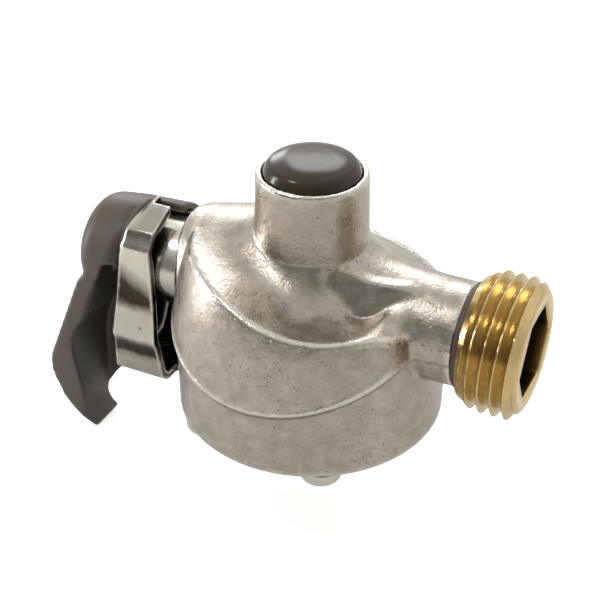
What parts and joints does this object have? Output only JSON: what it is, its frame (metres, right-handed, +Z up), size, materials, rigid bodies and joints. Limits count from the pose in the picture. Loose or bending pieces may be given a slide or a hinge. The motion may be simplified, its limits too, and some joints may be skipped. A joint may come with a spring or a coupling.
{
  "type": "tap adapter",
  "caption": "Clip-on gas cylinder tap adapter: die-cast body with a spring cap in its chimney, side lever that locks and opens it, and threaded brass outlet.",
  "frame": {"origin": "centre of the valve socket at the bottom face of the skirt", "axes": "+Z up the chimney, +X out of the threaded outlet, lever at -X"},
  "size_m": [0.0854, 0.0442, 0.063],
  "materials": {
    "cast_zinc": "satin as-cast zinc with fine grain",
    "cap_plastic": "glossy dark moulded",
    "lever_plastic": "matt dark moulded",
    "plated_steel": "bright zinc plated, slightly greenish",
    "bright_steel": "turned and polished",
    "spring_steel": "drawn wire",
    "brass": "turned, bright",
    "black_rubber": "matt",
    "brown_fibre": "matt pressed fibre"
  },
  "bodies": {
    "body": {"body_casting": "cast_zinc", "retaining_plate": "plated_steel", "cover_screws": "plated_steel", "inlet_nozzle": "brass", "nozzle_seal": "black_rubber", "spindle_gland": "bright_steel", "gland_seal": "black_rubber", "outlet_nipple": "brass", "nipple_washer": "brown_fibre", "plunger_spring": "spring_steel", "lock_springs": "spring_steel"},
    "lever": {"lever_handle": "lever_plastic", "lever_bracket": "plated_steel", "spindle": "bright_steel", "spindle_orings": "black_rubber", "lever_screw": "plated_steel", "lever_washer": "plated_steel"},
    "plunger": {"plunger_stem": "bright_steel", "plunger_cap": "cap_plastic", "plunger_oring": "black_rubber", "push_pin": "brass"},
    "lock": {"lock_plate": "bright_steel"}
  },
  "joints": [
    {"name": "lever_turn", "type": "hinge", "parent": "body", "child": "lever", "pos_m": [0, 0, 0.0197], "axis": [1, 0, 0], "range_deg": [0, 90]},
    {"name": "plunger_slide", "type": "slide", "parent": "body", "child": "plunger", "axis": [0, 0, -1], "range_m": [0, 0.003], "deforming": ["plunger_spring"]},
    {"name": "lock_slide", "type": "slide", "parent": "body", "child": "lock", "axis": [-1, 0, 0], "range_m": [0, 0.002]}
  ],
  "couplings": [
    {"joint": "plunger_slide", "follows": "lever_turn", "m_per_rad": 0.001909},
    {"joint": "lock_slide", "follows": "lever_turn", "m_per_rad": 0.001273}
  ]
}
